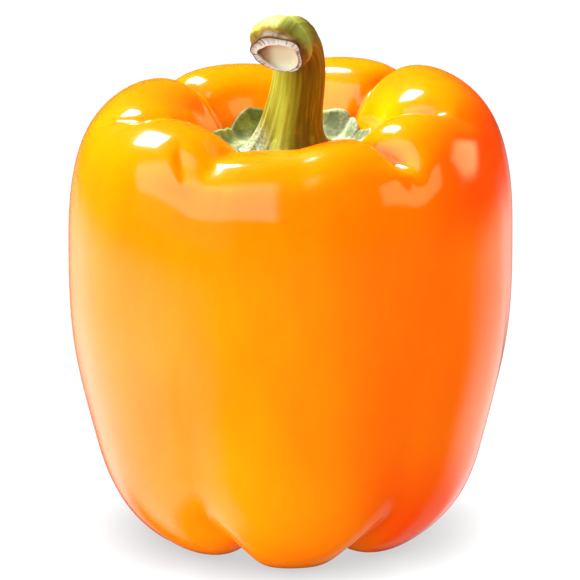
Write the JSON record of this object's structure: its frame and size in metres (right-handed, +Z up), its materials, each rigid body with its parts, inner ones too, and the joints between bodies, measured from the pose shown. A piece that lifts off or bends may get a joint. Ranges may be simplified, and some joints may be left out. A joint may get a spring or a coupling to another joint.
{
  "type": "bell pepper",
  "caption": "Blocky orange bell pepper standing on its lobes, with a ribbed hooked green stem and a low green calyx in its stalk hollow.",
  "frame": {"origin": "on the surface that the pepper stands on, under the middle of the fruit's outline", "axes": "+Z up, from the blossom end to the stem; -Y towards the side that shows the stem's cut end"},
  "size_m": [0.0846, 0.0834, 0.1042],
  "materials": {
    "skin": "glossy waxy orange skin, amber on the shoulders and redder in the grooves",
    "calyx": "frosted pale green with darker green patches",
    "stem": "ribbed yellow-green with olive and brown streaks, and a pale dry cut end"
  },
  "bodies": {
    "root": {"fruit": "skin", "calyx": "calyx", "stem": "stem"}
  },
  "joints": []
}
